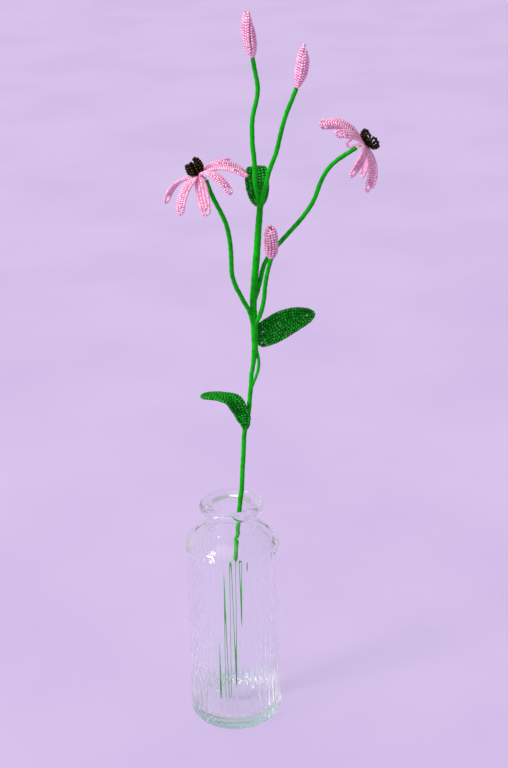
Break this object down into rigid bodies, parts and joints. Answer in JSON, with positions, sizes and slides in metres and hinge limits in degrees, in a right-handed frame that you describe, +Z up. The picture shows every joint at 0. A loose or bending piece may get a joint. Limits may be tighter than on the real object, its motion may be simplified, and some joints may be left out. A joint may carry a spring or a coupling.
{
  "type": "beaded coneflower in a ribbed glass vase",
  "caption": "Pink coneflower of glass beads on wire with dark cones, closed buds and green leaves on a green-wrapped stem, standing in a ribbed clear glass bottle vase.",
  "frame": {"origin": "centre of the vase's flat underside, on the ground plane", "axes": "+Z up the vase's axis; -Y the front of the spray as pictured; +X to the viewer's right, where the longer flower branch reaches"},
  "size_m": [0.1364, 0.098, 0.4936],
  "materials": {
    "vase_glass": "clear pressed glass with a faint green tint",
    "stem_wrap": "satin tape wound round wire",
    "leaf_beads": "dark green glass beads",
    "petal_beads": "light pink glass beads",
    "cone_beads": "near-black bronze-lined glass beads",
    "bare_wire": "thin bare wire"
  },
  "bodies": {
    "root": {"vase": "vase_glass", "stems": "stem_wrap", "leaf_right": "leaf_beads", "leaf_low_left": "leaf_beads", "leaf_top": "leaf_beads", "bloom_left_petals": "petal_beads", "bloom_left_cone": "cone_beads", "bloom_left_binding": "bare_wire", "bloom_right_petals": "petal_beads", "bloom_right_cone": "cone_beads", "bloom_right_binding": "bare_wire", "bud_top": "petal_beads", "bud_right": "petal_beads", "bud_middle": "petal_beads"}
  },
  "joints": []
}
